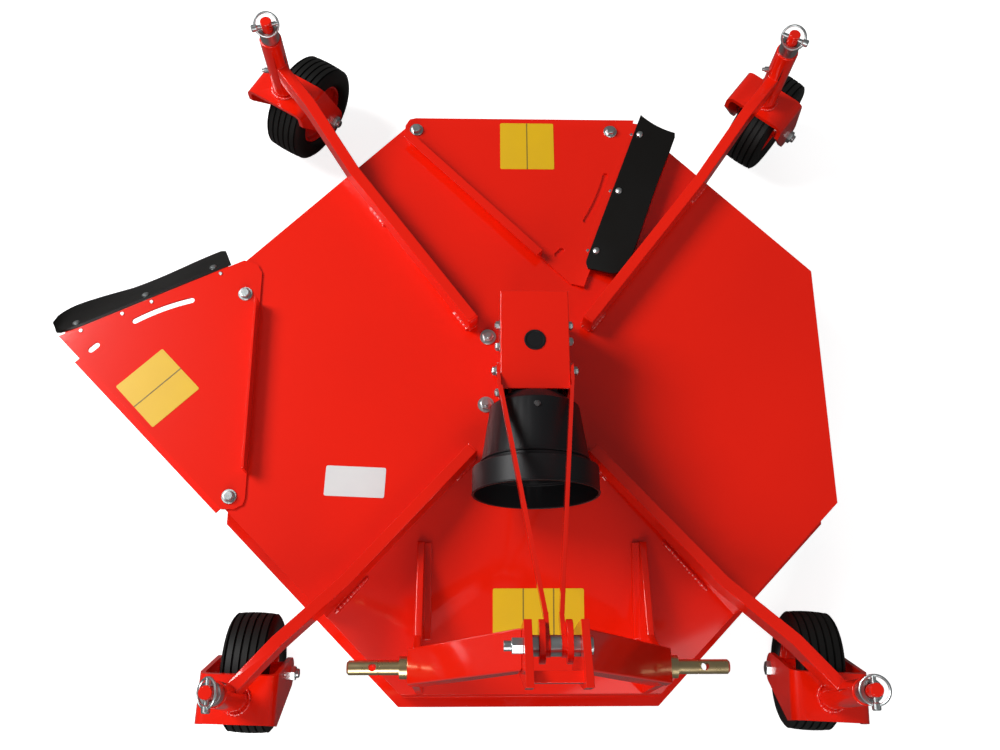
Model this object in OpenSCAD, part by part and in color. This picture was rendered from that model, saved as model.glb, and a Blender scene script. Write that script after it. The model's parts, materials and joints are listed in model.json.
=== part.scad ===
// Tractor mulching mower: an octagonal sheet steel deck on four caster wheels,
// with a three point hitch, a bevel gearbox and one rotor with swinging blades.
// X points right, Y to the rear, Z up from the ground. Sizes are in millimetres.

/* [Place] */
// How far the rotor stands right of the middle of the footprint
rotor_x = 141.6; // [100:0.5:200]
// How far the rotor stands behind the middle of the footprint
rotor_y = -67.2; // [-120:0.5:0]

/* [Deck] */
// Width of the deck across its flats
deck_af = 1060; // [1000:5:1100]
// How far the deck's middle stands right of the rotor
deck_x = -3; // [-15:1:10]
// How far the deck's middle stands behind the rotor
deck_y = -8; // [-20:1:10]
// Height of the deck's top face above the ground
deck_z = 216; // [205:1:240]
// Height of the skirt's lower edge above the ground
skirt_z = 65; // [45:1:80]
// Thickness of the deck's sheet
sheet = 4; // [3:0.5:5]
// Width of the lip that stands out at the skirt's lower edge
lip_w = 17; // [10:1:20]
// How far the front panel falls from its crease to the front edge
front_drop = 70; // [40:1:90]
// Distance from the rotor to the crease of the front panel
crease_y = 150; // [130:1:170]
// Half width of the crease of the front panel
crease_x = 104; // [90:1:115]
// Length of the discharge opening in the left skirt
chute_l = 400; // [300:5:420]

/* [Caster arms] */
// Width of an arm's tube
arm_w = 20; // [16:1:30]
// Height of an arm's tube
arm_h = 45; // [35:1:50]
// Wall of an arm's tube
arm_wall = 3; // [2:0.5:4]
// Rise of an arm beyond the deck
arm_rise = 60; // [40:1:70]
// Length of the raised end of an arm, up to the pivot
arm_end = 105; // [95:1:120]
// Length over which an arm rises
arm_ramp = 135; // [120:1:150]
// Distance from the middle to a caster pivot, sideways
pivot_x = 477; // [470:1:500]
// Distance from the rotor to the front caster pivots
pivot_front = 549; // [540:1:580]
// Distance from the rotor to the rear caster pivots
pivot_rear = 580; // [570:1:620]
// Distance from the middle to an arm's inner end, sideways
arm_in_x = 103; // [95:1:120]
// Distance from the rotor to the inner ends of the front arms
arm_in_front = 143; // [135:1:160]
// Distance from the rotor to the inner ends of the rear arms
arm_in_rear = 95; // [90:1:120]

/* [Casters] */
// Radius of a wheel
wheel_r = 100; // [90:1:105]
// Width of a tyre
tyre_w = 78; // [60:1:84]
// Radius of a rim's seat for the tyre
rim_r = 62; // [50:1:70]
// Distance from a caster's pivot back to its axle
trail = 52; // [40:1:60]
// Width of a fork over its cheeks
fork_w = 127; // [115:1:135]
// Length of a fork's top plate
fork_l = 76; // [65:1:85]
// Thickness of a fork's plate
fork_t = 8; // [6:0.5:10]
// Height of a fork's top face
fork_z = 230; // [222:1:236]
// Radius of a caster's swivel pin
pin_r = 12.5; // [10:0.5:14]
// Outer radius of a pivot tube
tube_r = 20; // [17:1:24]
// Height of a pivot tube's top end
tube_top = 385; // [375:1:395]
// Height of a swivel pin's top end
pin_top = 434; // [425:1:440]
// Radius of a swivel pin's turned end above the pivot tube
pin_end_r = 10; // [8:0.5:11]
// Radius of a wheel's axle bolt
axle_r = 8; // [6:0.5:10]

/* [Hitch] */
// Half of the width between the shoulders of the lower hitch pins
shoulder_x = 200; // [195:1:210]
// Distance from the rotor to the hitch pins
hitch_y = 508; // [500:1:515]
// Height of the lower hitch pins
hitch_z = 325; // [315:1:335]
// Height of the top link bolt above the lower pins
mast_h = 340; // [320:1:360]
// Radius of a lower hitch pin
hitch_r = 11; // [9:0.5:11]
// Length of a lower hitch pin beyond its shoulder
hitch_l = 92; // [85:1:100]
// Radius of the lynch pin hole in a hitch pin
lynch_r = 6; // [5:0.25:6.5]
// Depth of a hitch arm, fore and aft
hitch_d = 53; // [45:1:60]
// Height of a hitch arm's section
hitch_h = 46; // [38:1:56]
// Thickness of the mast ears
plate = 10; // [8:0.5:12]
// Thickness of the gussets under the hitch arms
gusset_t = 12; // [8:1:14]
// Distance from the middle to a gusset
gusset_x = 189; // [180:1:195]
// Half of the clear width between the outer ears
ear_in = 30; // [27:1:34]
// Radius of the top link bolt
top_r = 6.5; // [6:0.5:10]
// Thickness of a short lug at the top link bolt
lug_t = 8; // [6:1:10]
// Half of the clear width between the straps at the top link bolt
lug_x = 7; // [6:0.5:9]
// Thickness of a tie strap
strap_t = 6; // [5:0.5:8]
// Width of a tie strap
strap_w = 18; // [16:1:22]

/* [Drive] */
// Height of the drive shaft above the ground
shaft_z = 326; // [322:1:335]
// Width of the gearbox cover
cover_w = 114; // [110:1:124]
// Distance from the rotor to the cover's front face
cover_front = 74; // [70:1:80]
// Distance from the rotor to the cover's rear face
cover_rear = 100; // [96:1:110]
// Height of the cover's top
cover_z = 370; // [366:1:380]
// Radius of the shaft guard's mouth
guard_r = 103; // [96:1:105]
// Distance from the rotor to the guard's mouth
guard_y = 240; // [225:1:250]
// Radius of the drive shaft
shaft_r = 17.5; // [15:0.5:19]

/* [Rotor] */
// Radius of the circle that the blade tips run on
tip_r = 490; // [470:1:500]
// Length of a blade from its bolt to its tip
blade_l = 150; // [130:1:170]
// Height of the blades' cutting edge above the ground
blade_z = 85; // [80:1:100]

/* [Deflectors] */
// Distance from the deck's edge in to the deflector bolts
bolt_in = 18; // [15:1:20]
// Distance between the two bolts of a deflector
bolt_pitch = 375; // [360:1:380]
// Thickness of a deflector plate
defl_t = 4; // [3:0.5:5]
// Reach of a deflector's corner beyond its bolts
defl_reach = 325; // [300:1:335]
// How far a deflector's corner stands along the deck's edge
defl_tip = 73; // [60:1:80]
// Width of a rubber flap
flap_w = 90; // [80:1:105]
// Thickness of a rubber flap
flap_t = 5; // [4:0.5:6]

/* [Hidden] */
$fn = 64;
// Running gap round a pin, and the small gap between pieces that are seated
run = 0.08;
seat = 0.3;
far = 1000;
deck_in = deck_af / 2;
// Distance from the rotor to the deck's front edge, and the front panel's fall
deck_front = deck_in - deck_y;
front_slope = front_drop / (deck_front - crease_y);
// Casters: thrust ring under the pivot tube, and the lynch pin above it
ring_t = 3;
lock_r = 4;
lock_z = pin_top - 12;
lock_reach = 26;
spacer_h = 26;
spacer_out = 17.5;
askew = 7;
// Hitch: height of the top link bolt, and the ears' outer faces
top_z = hitch_z + mast_h;
ear_out = ear_in + plate;
nut_r = 11;
spacer_r = 13;
lynch_at = 53;
// Rotor: neck of its shaft, carrier bar, blades
hub_neck = 20;
bar_t = 12;
blade_t = 10;
blade_bolt_r = 8;
hub_low = blade_z + blade_t;
bolt_circle = tip_r - blade_l;
// How far the drive shaft's end stands behind the guard's mouth
shaft_in = 55;
// M10 bolts, and the play of their holes
m10 = 5;
play = 0.5;

// Deflector in its own plane: X along the deck's edge, Y out from the bolts
defl_mid = -31;
bolt_far = defl_mid - bolt_pitch / 2;
defl_in = 27;
flange_h = 30;
flange_l = 24;
wall_h = 22;
wall_lip = 11;
// Long edge, from the foot to the corner, and one step along it
foot = [bolt_far - 21.5, 12];
corner = [defl_tip, defl_reach];
step = (corner - foot) / (defl_reach - foot[1]);
wall_a = foot + 6 * step;
// Slots on a circle round the far bolt, turned from the line of the bolts
slot_r = 5.5;
slot_out = asin((defl_reach - 65) / bolt_pitch);
slot_from = slot_out - 29;
slot_to = slot_out - 13;
slot_small = 0.9;
end_relief = 0.05;
bend_in = 0.6;
heel_y = 8;
rear_shift = 6;
// Each deflector's heel, the slope of its flange, where its rubber begins, where its
// flange begins and how far before the corner it ends, its wall's end in steps, and
// whether its heel corner is rounded
SIDE = [224, 45, 24, 30, 12, 279, true];
REAR = [191, 14, -36, -30, 2, 256, false];

// Casters: name, side, pivot sideways, pivot along Y, inner arm end along Y, turn of
// the wheel. The rear pair was welded a little askew
CASTERS = [
    ["fl", -1, pivot_x, -pivot_front, -arm_in_front, -2],
    ["fr", 1, pivot_x, -pivot_front, -arm_in_front, -3],
    ["rl", -1, pivot_x - askew, pivot_rear + askew, arm_in_rear, -31],
    ["rr", 1, pivot_x - askew, pivot_rear - askew, arm_in_rear, -38],
];

module placed() translate([rotor_x, rotor_y, 0]) children();
module red() color([0.86, 0.08, 0.05]) children();
module zinc() color([0.75, 0.77, 0.78]) children();
module gold() color([0.80, 0.68, 0.35]) children();
module black() color([0.07, 0.07, 0.08]) children();

// Octagon with its flats at the given distance from the middle
module octagon(inradius) {
    side = inradius * tan(22.5);
    polygon([
        [-side, -inradius], [side, -inradius], [inradius, -side], [inradius, side],
        [side, inradius], [-side, inradius], [-inradius, side], [-inradius, -side],
    ]);
}

// Plan of the part of the deck that falls to the front, grown by a wall
module front_plan(grow) {
    run_x = pivot_x - arm_in_x;
    run_y = pivot_front - arm_in_front;
    k = run_x / run_y;
    wide = crease_x + grow * 1.4;
    polygon([
        [-wide, -crease_y + grow], [wide, -crease_y + grow],
        [wide + far * k, -crease_y + grow - far], [-wide - far * k, -crease_y + grow - far],
    ]);
}

// Space above the sloping front panel, moved down by a wall
module front_space(grow) {
    intersection() {
        translate([0, 0, -far / 2])
            linear_extrude(2 * far) front_plan(grow);
        translate([0, -crease_y, deck_z - grow])
            rotate([atan(front_slope), 0, 0])
                translate([-far, -2 * far, 0]) cube([2 * far, 2 * far + grow, far]);
    }
}

// Outer form of the deck, drawn in by a wall
module deck_form(inset, low) {
    difference() {
        translate([deck_x, deck_y, low])
            linear_extrude(deck_z - inset - low) octagon(deck_in - inset);
        front_space(inset);
    }
}

module deck() {
    red() difference() {
        union() {
            deck_form(0, skirt_z);
            translate([deck_x, deck_y, skirt_z])
                linear_extrude(sheet) octagon(deck_in + lip_w);
        }
        deck_form(sheet, skirt_z - 1);
        // Discharge opening in the left skirt
        translate([deck_x - deck_in - lip_w - 1, deck_y - chute_l / 2, skirt_z - 1])
            cube([2 * lip_w + sheet, chute_l, deck_z - sheet - skirt_z + 1]);
        // Hole for the rotor's shaft
        translate([0, 0, skirt_z])
            cylinder(h = deck_z, r = hub_neck + 6);
        // Holes for the deflector bolts
        at_deflector_bolts() translate([0, 0, deck_z - sheet - 1])
            cylinder(h = sheet + 2, r = m10 + play);
    }
}

// Arm: a flat tube that lies on the deck and rises to the pivot tube
module arm(c) {
    side = c[1];
    dx = side * (c[2] - arm_in_x);
    dy = c[3] - c[4];
    long = norm([dx, dy]);
    turn = atan2(dy, dx);
    low = deck_z;
    high = deck_z + arm_rise;
    a = long - arm_end - arm_ramp;
    b = long - arm_end;
    red() translate([side * arm_in_x, c[4], 0]) rotate([0, 0, turn]) difference() {
        union() {
            rotate([90, 0, 0]) translate([0, 0, -arm_w / 2]) linear_extrude(arm_w)
                polygon([
                    [0, low], [a, low], [b, high], [long, high],
                    [long, high + arm_h], [b - 6, high + arm_h], [a - 6, low + arm_h],
                    [0, low + arm_h],
                ]);
            translate([long, 0, fork_z + ring_t + seat])
                cylinder(h = tube_top - fork_z - ring_t - seat, r = tube_r);
        }
        // Hollow of the tube
        rotate([90, 0, 0]) translate([0, 0, -arm_w / 2 + arm_wall])
            linear_extrude(arm_w - 2 * arm_wall)
                polygon([
                    [-1, low + arm_wall], [a, low + arm_wall], [b, high + arm_wall],
                    [long - tube_r - 1, high + arm_wall], [long - tube_r - 1, high + arm_h - arm_wall],
                    [b - 6, high + arm_h - arm_wall], [a - 6, low + arm_h - arm_wall],
                    [-1, low + arm_h - arm_wall],
                ]);
        translate([long, 0, fork_z])
            cylinder(h = tube_top, r = pin_r + run);
    }
}

// Puts a piece at a caster's pivot, turned as the caster stands
module at_caster(c) translate([c[1] * c[2], c[3], 0]) rotate([0, 0, c[5]]) children();
// Puts a piece at a caster's axle, its own Z along the axle
module at_axle(c) at_caster(c) translate([0, trail, wheel_r]) rotate([0, 90, 0]) children();

module fork(c) {
    cheek_end = 26;
    red() at_caster(c) difference() {
        union() {
            // Bent plate: the top and its two cheeks
            difference() {
                rotate([90, 0, 0]) translate([0, 0, -fork_l / 2 - 80]) linear_extrude(fork_l + 80)
                    difference() {
                        translate([-fork_w / 2, 0]) fork_profile(fork_w, fork_z, 17);
                        translate([-fork_w / 2 + fork_t, 0])
                            fork_profile(fork_w - 2 * fork_t, fork_z - fork_t, 9);
                    }
                // Side outline of the cheeks, cut away outside it
                rotate([90, 0, 90]) translate([0, 0, -fork_w / 2 - 1]) linear_extrude(fork_w + 2)
                    difference() {
                        translate([-fork_l, -1]) square([2 * fork_l + 100, fork_z + 2]);
                        hull() {
                            translate([-fork_l / 2, fork_z - 34]) square([fork_l, 34]);
                            translate([trail, wheel_r]) circle(r = cheek_end);
                        }
                    }
            }
            translate([0, 0, fork_z - 1]) cylinder(h = ring_t + 1, r = tube_r + 2);
            translate([0, 0, fork_z - fork_t])
                cylinder(h = tube_top - fork_z + fork_t, r = pin_r);
            translate([0, 0, tube_top - 1]) cylinder(h = pin_top - tube_top, r = pin_end_r);
            translate([0, 0, pin_top - 1]) cylinder(h = 1, r1 = pin_end_r, r2 = pin_end_r - 1);
        }
        translate([-fork_w, trail, wheel_r]) rotate([0, 90, 0])
            cylinder(h = 2 * fork_w, r = axle_r + seat);
        translate([-far / 2, 0, lock_z]) rotate([0, 90, 0])
            cylinder(h = far, r = lock_r + run);
    }
}
module fork_profile(w, h, r) {
    hull() {
        square([w, 1]);
        translate([r, h - r]) circle(r = r, $fn = 32);
        translate([w - r, h - r]) circle(r = r, $fn = 32);
    }
}

// Spacer ring and lynch pin on top of a pivot tube
module lock(c) {
    head_r = 7;
    head_h = 12;
    wire_r = 2;
    zinc() at_caster(c) {
        translate([0, 0, tube_top + seat]) difference() {
            cylinder(h = spacer_h, r = spacer_out);
            translate([0, 0, -1]) cylinder(h = spacer_h + 2, r = pin_end_r + seat);
        }
        // Lynch pin, with its ring closed round the swivel pin
        translate([-lock_reach - 4, 0, lock_z]) rotate([0, 90, 0]) {
            cylinder(h = 2 * lock_reach + 4, r = lock_r);
            cylinder(h = head_h, r = head_r);
        }
        translate([0, 0, lock_z]) rotate_extrude() translate([lock_reach, 0]) circle(r = wire_r);
    }
}

module axle(c) {
    head_h = 8;
    head_r = 13;
    thread_l = 6;
    zinc() at_axle(c) {
        translate([0, 0, -fork_w / 2 - head_h]) {
            cylinder(h = fork_w + 2 * head_h + thread_l, r = axle_r);
            cylinder(h = head_h, r = head_r, $fn = 6);
        }
        translate([0, 0, fork_w / 2]) cylinder(h = head_h, r = head_r, $fn = 6);
    }
}

module rim(c) {
    half = tyre_w / 2 - 8;
    hub_r = 18;
    hub_half = fork_w / 2 - fork_t - 1;
    seat_r = rim_r - 5;
    red() at_axle(c) rotate_extrude() polygon([
        [axle_r + run, -hub_half], [hub_r, -hub_half],
        [hub_r, -12], [seat_r, -20], [seat_r, -half], [rim_r, -half],
        [rim_r, half], [seat_r, half], [seat_r, 20], [hub_r, 12],
        [hub_r, hub_half], [axle_r + run, hub_half],
    ]);
}

module tyre(c) {
    half = tyre_w / 2;
    shoulder = 12;
    bead = 8;
    black() at_axle(c) rotate_extrude() polygon([
        [rim_r, -half + bead], [rim_r + bead, -half], [wheel_r - shoulder, -half],
        [wheel_r - 3, -half + 4], [wheel_r, -half + shoulder],
        [wheel_r, half - shoulder], [wheel_r - 3, half - 4],
        [wheel_r - shoulder, half], [rim_r + bead, half], [rim_r, half - bead],
    ]);
}

// Hitch arms: two box sections that rise from the lower pins to the mast
module hitch_arms() {
    inner_z = top_z - 70;
    half_inner = hitch_h * 0.7;
    red() translate([0, -hitch_y + hitch_d / 2, 0]) rotate([90, 0, 0]) linear_extrude(hitch_d)
        for (side = [-1, 1]) polygon([
            [side * shoulder_x, hitch_z - hitch_h / 2],
            [side * shoulder_x, hitch_z + hitch_h / 2],
            [side * ear_out, inner_z + half_inner],
            [side * ear_out, inner_z - half_inner],
            [side * (shoulder_x - 30), hitch_z - hitch_h / 2],
        ]);
}

// Height of the sloping front panel's top face at a distance from the rotor
function panel_z(y) = deck_z - (y - crease_y) * front_slope;

// Upright plates that carry the hitch arms, each with a foot along the front panel
module hitch_gussets() {
    toe = 292;
    knee = hitch_y - hitch_d / 2 - 30;
    foot_w = 12;
    foot_t = 6;
    low = panel_z(deck_front);
    arm_z = hitch_z - hitch_h / 2;
    red() for (side = [-1, 1]) {
        translate([side * gusset_x + gusset_t / 2, 0, 0])
            rotate([90, 0, -90]) linear_extrude(gusset_t) polygon([
                [toe, panel_z(toe)], [toe, panel_z(toe) + 12],
                [knee, panel_z(knee) + 75], [hitch_y - hitch_d / 2, arm_z],
                [hitch_y + hitch_d / 2, arm_z],
                [deck_front, low + 30], [deck_front, low],
            ]);
        translate([side * (gusset_x - gusset_t / 2 - foot_w / 2) + foot_w / 2, 0, 0])
            rotate([90, 0, -90]) linear_extrude(foot_w) polygon([
                [toe, panel_z(toe)], [toe, panel_z(toe) + foot_t],
                [knee, panel_z(knee) + foot_t], [knee, panel_z(knee)],
            ]);
    }
}

module mast_ears() {
    reach_front = 53;
    reach_rear = 30;
    cross_d = 14;
    cross_h = 20;
    red() {
        difference() {
            union() for (side = [-1, 1])
                translate([side > 0 ? ear_out : -ear_in, 0, 0]) rotate([90, 0, -90])
                    linear_extrude(plate) polygon([
                        [hitch_y - hitch_d / 2, top_z - 120],
                        [hitch_y - reach_rear, top_z - 25],
                        [hitch_y - reach_rear, top_z + 20],
                        [hitch_y + reach_front, top_z + 60],
                        [hitch_y + reach_front, top_z + 20],
                        [hitch_y + hitch_d / 2, top_z - 120],
                    ]);
            translate([-far, -hitch_y, top_z]) rotate([0, 90, 0])
                cylinder(h = 2 * far, r = top_r + seat);
        }
        translate([-ear_in, -hitch_y - reach_front + 7, top_z + 15])
            cube([2 * ear_in, cross_d, cross_h]);
    }
}

module hitch_pin(side) {
    collar_r = 17;
    collar_l = 12;
    tip_l = 3;
    groove_d = 0.8;
    groove_l = 2;
    gold() translate([side * shoulder_x, -hitch_y, hitch_z]) rotate([0, side * 90, 0])
        difference() {
            union() {
                cylinder(h = collar_l, r = collar_r);
                cylinder(h = hitch_l - tip_l, r = hitch_r);
                translate([0, 0, hitch_l - tip_l])
                    cylinder(h = tip_l, r1 = hitch_r, r2 = hitch_r - tip_l);
            }
            translate([-2 * hitch_r, 0, lynch_at]) rotate([0, 90, 0])
                cylinder(h = 4 * hitch_r, r = lynch_r);
            // Groove that ends the stretch for the link's ball
            translate([0, 0, lynch_at - lynch_r - 2 - groove_l]) difference() {
                cylinder(h = groove_l, r = hitch_r + 1);
                translate([0, 0, -1]) cylinder(h = groove_l + 2, r = hitch_r - groove_d);
            }
        }
}

// Top link bolt with its nut, spacers and head
module top_bolt() {
    nut_h = 14;
    head_h = 6;
    thread_l = 10;
    stack = lug_x + strap_t + lug_t;
    zinc() translate([0, -hitch_y, top_z]) rotate([0, 90, 0]) {
        translate([0, 0, -ear_out - nut_h - thread_l])
            cylinder(h = 2 * ear_out + nut_h + thread_l + head_h / 2, r = top_r);
        translate([0, 0, -ear_out - nut_h]) cylinder(h = nut_h, r = nut_r, $fn = 6);
        translate([0, 0, ear_out]) cylinder(h = head_h, r = nut_r);
        translate([0, 0, -lug_x]) cylinder(h = 2 * lug_x, r = spacer_r);
        for (side = [0, 1]) mirror([0, 0, side]) translate([0, 0, stack])
            cylinder(h = ear_in - stack, r = spacer_r);
    }
}

// Short lugs beside the straps' upper ends
module link_lugs() {
    lug_r = 18;
    rear = hitch_y - 14;
    front = hitch_y + 4;
    red() for (side = [-1, 1])
        translate([side > 0 ? lug_x + strap_t + lug_t : -lug_x - strap_t, 0, 0])
            rotate([90, 0, -90]) linear_extrude(lug_t) difference() {
                union() {
                    for (y = [rear, front]) translate([y, top_z]) circle(r = lug_r);
                    translate([rear, top_z - lug_r]) square([front - rear, 2 * lug_r]);
                }
                translate([hitch_y, top_z]) circle(r = top_r + seat);
            }
}

// Flat bars from the top link bolt down to the gearbox cover's sides
module tie_straps() {
    tab = 46;
    foot_y = 38;
    foot_z = cover_z - 16;
    tilt = atan2(top_z - foot_z, hitch_y - foot_y);
    // The bar's two ends, past the straight tabs
    y_a = -hitch_y + tab * cos(tilt);
    z_a = top_z - tab * sin(tilt);
    y_b = -foot_y - 20 * cos(tilt);
    z_b = foot_z + 20 * sin(tilt);
    x_a = lug_x + strap_t / 2;
    x_b = cover_w / 2 + strap_t / 2 + 0.1;
    sway = atan2(x_b - x_a, y_b - y_a);
    long = norm([x_b - x_a, y_b - y_a, z_a - z_b]);
    red() for (side = [0, 1]) mirror([side, 0, 0]) difference() {
        union() {
            translate([x_a - strap_t / 2, -hitch_y, top_z]) strap_tab(tilt, tab);
            translate([x_b - strap_t / 2, -foot_y, foot_z]) mirror([0, 1, 0])
                mirror([0, 0, 1]) strap_tab(tilt, 20);
            translate([x_a, y_a, z_a]) rotate([0, 0, -sway])
                rotate([-asin((z_a - z_b) / long), 0, 0])
                    translate([-strap_t / 2, -1, -strap_w / 2])
                        cube([strap_t, long + 2, strap_w]);
        }
        translate([0, -hitch_y, top_z]) rotate([0, 90, 0])
            cylinder(h = 2 * ear_in, r = top_r + seat);
        translate([0, -foot_y, foot_z]) rotate([0, 90, 0])
            cylinder(h = cover_w, r = m10 + seat);
        // Inner faces stay flat against the spacer and the cover
        translate([-10, -hitch_y - 30, top_z - 80]) cube([10 + lug_x, 90, 110]);
        translate([-10, -cover_front, deck_z]) cube([10 + cover_w / 2, cover_front + 90, cover_z]);
    }
}

module strap_tab(tilt, tab) {
    rotate([0, 90, 0]) cylinder(h = strap_t, r = 14);
    rotate([-tilt, 0, 0]) translate([0, 0, -strap_w / 2]) cube([strap_t, tab, strap_w]);
}

// Gearbox, a heavy casting under its cover
module gearbox() {
    color([0.35, 0.36, 0.38]) difference() {
        union() {
            translate([-45, -cover_front + 8, deck_z]) cube([90, cover_front + cover_rear - 20, 20]);
            translate([-42, -55, deck_z]) cube([84, 130, cover_z - deck_z - 10]);
            translate([0, -50, shaft_z]) rotate([90, 0, 0]) cylinder(h = 35, r = 38);
        }
        translate([0, -120, shaft_z]) rotate([-90, 0, 0]) cylinder(h = 90, r = shaft_r + run);
        translate([0, 0, deck_z - 1]) cylinder(h = 60, r = hub_neck + run);
    }
}

module gearbox_cover() {
    t = 4;
    red() difference() {
        translate([-cover_w / 2, -cover_front, deck_z])
            cube([cover_w, cover_front + cover_rear, cover_z - deck_z]);
        translate([-cover_w / 2 + t, -cover_front - 1, deck_z - 1])
            cube([cover_w - 2 * t, cover_front + cover_rear - t + 1, cover_z - deck_z - t + 1]);
        translate([0, 11, cover_z - 10]) cylinder(h = 20, r = 16);
    }
}

// Guard round the drive shaft: a cone with a stepped ring at its mouth
module shaft_guard() {
    t = 3;
    root = 48;
    shoulder = 74;
    ring = 42;
    step = guard_r - 13;
    front = cover_front + 1;
    reach = guard_y - front;
    black() translate([0, -front, shaft_z]) rotate([90, 0, 0]) intersection() {
        rotate_extrude() polygon([
            [38 + seat, 0], [root, 0], [shoulder, 20], [step, reach - ring],
            [guard_r, reach - ring],
            [guard_r, reach], [guard_r - t, reach], [guard_r - t, reach - ring + t],
            [step - t, reach - ring + t], [shoulder - t, 20 + t], [root - t, t],
            [38 + seat, t],
        ]);
        translate([-far, -shaft_z + deck_z + 1, -far]) cube([2 * far, far, 2 * far]);
    }
}

// Drive shaft with six splines
module drive_shaft() {
    tip = guard_y - shaft_in;
    zinc() difference() {
        translate([0, -40, shaft_z]) rotate([90, 0, 0]) cylinder(h = tip - 40, r = shaft_r);
        for (i = [0:5]) translate([0, 0, shaft_z]) rotate([0, i * 60, 0])
            translate([-4, -tip - 1, shaft_r - 3]) cube([8, 66, 10]);
    }
}

// Plan of a deflector's plate, its corners cut off
module deflector_plan(kind) {
    heel = kind[0];
    straight = (heel - corner[0]) / (corner[1] - heel_y);
    polygon(concat(
        [foot, [foot[0], -10], [foot[0] + 8, 3 - defl_in], [foot[0] + 20, -defl_in]],
        kind[6] ? [[heel - 24, -defl_in], [heel - 9, -18], [heel - 3, -6], [heel, heel_y]]
            : [[heel + straight * (heel_y + defl_in), -defl_in]],
        [corner]
    ));
}

// Slots on the circle round the far bolt: a long one, and a short one near the corner
module on_circle(turn) translate([bolt_far, 0]) rotate([0, 0, turn])
    translate([bolt_pitch, 0]) children();
module slots() {
    for (ends = [[slot_from, slot_to], [slot_out - slot_small, slot_out + slot_small]]) {
        for (turn = ends) on_circle(turn) circle(r = slot_r + end_relief);
        intersection() {
            translate([bolt_far, 0]) difference() {
                circle(r = bolt_pitch + slot_r, $fn = 240);
                circle(r = bolt_pitch - slot_r, $fn = 240);
            }
            translate([bolt_far, 0]) polygon([
                [0, 0], 2 * bolt_pitch * [cos(ends[0]), sin(ends[0])],
                2 * bolt_pitch * [cos(ends[1]), sin(ends[1])],
            ]);
        }
    }
}

// Frame at the flap's edge: X from the heel to the corner, Y into the plate
module at_edge(heel) translate([heel, heel_y, 0])
    rotate([0, 0, atan2(corner[1] - heel_y, corner[0] - heel)]) children();
function edge_l(heel) = norm([heel - corner[0], corner[1] - heel_y]);

// Puts a section at the flap's edge: X out from the edge, Y up, drawn along the edge
module at_flap_edge(heel, from, to) at_edge(heel) translate([from, 0, 0])
    rotate([90, 0, 90]) mirror([1, 0, 0]) linear_extrude(to - from) children();

// Point on a flange with the given slope: along the slope, and off its outer face
function slope_at(slope, along, off) = [
    along * cos(slope) + off * sin(slope),
    defl_t + off * cos(slope) - along * sin(slope),
];

// Strip beside the line from a to b, between two offsets to its left
module strip(a, b, from, to) {
    left = [a[1] - b[1], b[0] - a[0]] / norm(b - a);
    polygon([a + left * from, b + left * from, b + left * to, a + left * to]);
}

// Deflector: a plate with three edges bent. Turned over, its bends point up
module deflector(kind, up) {
    heel = kind[0];
    slope = kind[1];
    flip = up ? 1 : 0;
    under = slope_at(slope, 0, -defl_t);
    wall_b = foot + kind[5] * step;
    difference() {
        union() {
            linear_extrude(defl_t) deflector_plan(kind);
            // Upright flange at the inner edge
            translate([foot[0] + 64, -defl_in, up ? -flange_h : defl_t])
                cube([bolt_pitch - 60, defl_t, flange_h]);
            // Wall at the long edge, with its lip turned out
            translate([0, 0, up ? defl_t : defl_t - wall_h])
                linear_extrude(wall_h - defl_t) strip(wall_a, wall_b, -defl_t, 0);
            translate([0, 0, up ? wall_h : -wall_h])
                linear_extrude(defl_t) strip(wall_a, wall_b, -defl_t, wall_lip);
            // Slanted flange that carries the rubber
            translate([0, 0, flip * defl_t]) mirror([0, 0, flip])
                at_flap_edge(heel, kind[3], edge_l(heel) - kind[4]) polygon([
                    under, under + [-1, defl_t / 2],
                    slope_at(slope, bend_in, 0), slope_at(slope, flange_l, 0),
                    slope_at(slope, flange_l, -defl_t),
                ]);
        }
        at_flange_bolts() translate([0, 0, -1]) cylinder(h = defl_t + 2, r = m10 + play);
        translate([0, 0, -1]) linear_extrude(defl_t + 2) slots();
    }
}

// Rubber sheet on the slanted flange: outside it, or inside it on the turned plate.
// Drawn in its own plane: X along the edge, Y down the slope
module flap(kind, up) {
    heel = kind[0];
    start = up ? 12 : 2;
    inner_end = edge_l(heel) + (up ? -51 : 4);
    outer_end = edge_l(heel) + (up ? -96 : 4);
    flip = up ? 1 : 0;
    translate([0, 0, flip * defl_t]) mirror([0, 0, flip]) at_edge(heel)
        translate([0, 0, defl_t]) mirror([0, 1, 0]) rotate([-kind[1], 0, 0])
            translate([0, 0, up ? -defl_t - flap_t : 0]) linear_extrude(flap_t) polygon([
                [kind[2], start], [kind[2], flap_w], [outer_end, flap_w], [inner_end, start],
            ]);
}

module at_flange_bolts() for (side = [-1, 1])
    translate([defl_mid + side * bolt_pitch / 2, 0, 0]) children();
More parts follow.
